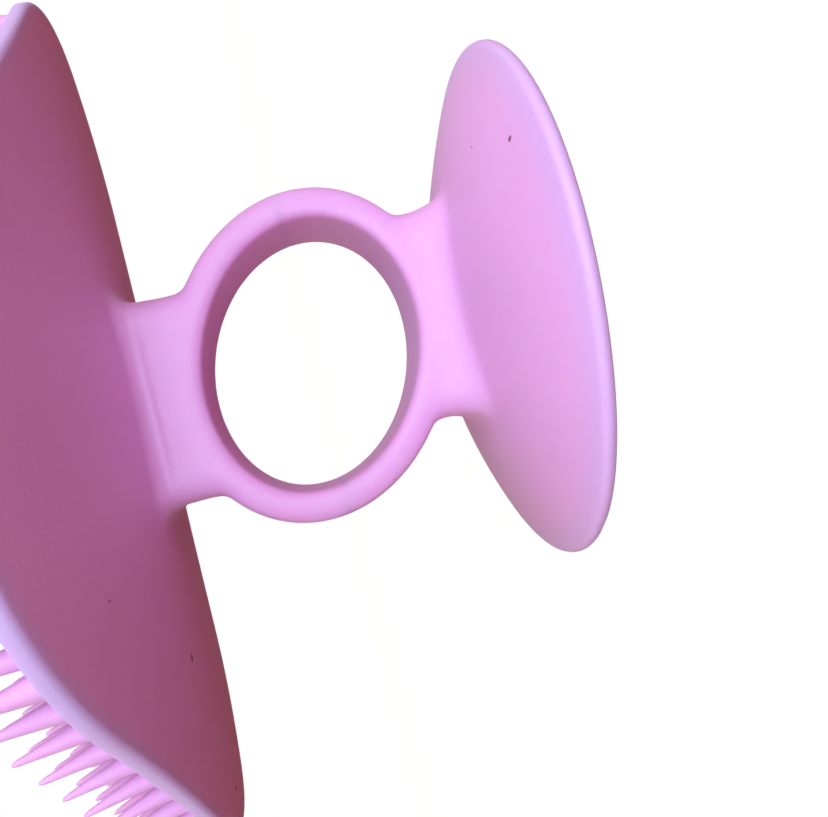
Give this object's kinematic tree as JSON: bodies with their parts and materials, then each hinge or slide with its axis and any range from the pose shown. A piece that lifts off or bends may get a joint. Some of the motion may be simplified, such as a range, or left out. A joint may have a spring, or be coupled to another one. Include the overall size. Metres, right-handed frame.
{
  "type": "silicone face brush",
  "caption": "Soft face brush: a leaf-shaped pad of tapered bristles on a finger ring, with a suction cup below to park it on a smooth wall.",
  "frame": {"origin": "on the ground, under the middle of the whole brush, with the suction cup's rim resting on the ground", "axes": "+Z from the suction cup up to the bristles, +Y along the finger through the ring, +X towards the pad's shorter end"},
  "size_m": [0.0764, 0.0594, 0.0461],
  "materials": {
    "body_silicone": "satin",
    "bristle_silicone": "satin"
  },
  "bodies": {
    "cup": {"suction_cup": "body_silicone", "cup_neck": "body_silicone"},
    "ring": {"finger_ring": "body_silicone", "pad_neck": "body_silicone"},
    "pad": {"brush_pad": "body_silicone", "bristle_bed_front": "bristle_silicone", "bristle_bed_front_inner": "bristle_silicone", "bristle_bed_middle": "bristle_silicone", "bristle_bed_back_inner": "bristle_silicone", "bristle_bed_back": "bristle_silicone"}
  },
  "joints": [
    {"name": "cup_neck_flex", "type": "hinge", "parent": "cup", "child": "ring", "pos_m": [0.002, 0, 0.007], "axis": [1, 0, 0], "range_deg": [-15, 15], "stiffness_Nm_per_rad": 0.1, "deforming": ["cup_neck"]},
    {"name": "pad_neck_flex", "type": "hinge", "parent": "ring", "child": "pad", "pos_m": [0.002, 0, 0.0333], "axis": [1, 0, 0], "range_deg": [-15, 15], "stiffness_Nm_per_rad": 0.1, "deforming": ["pad_neck"]}
  ]
}
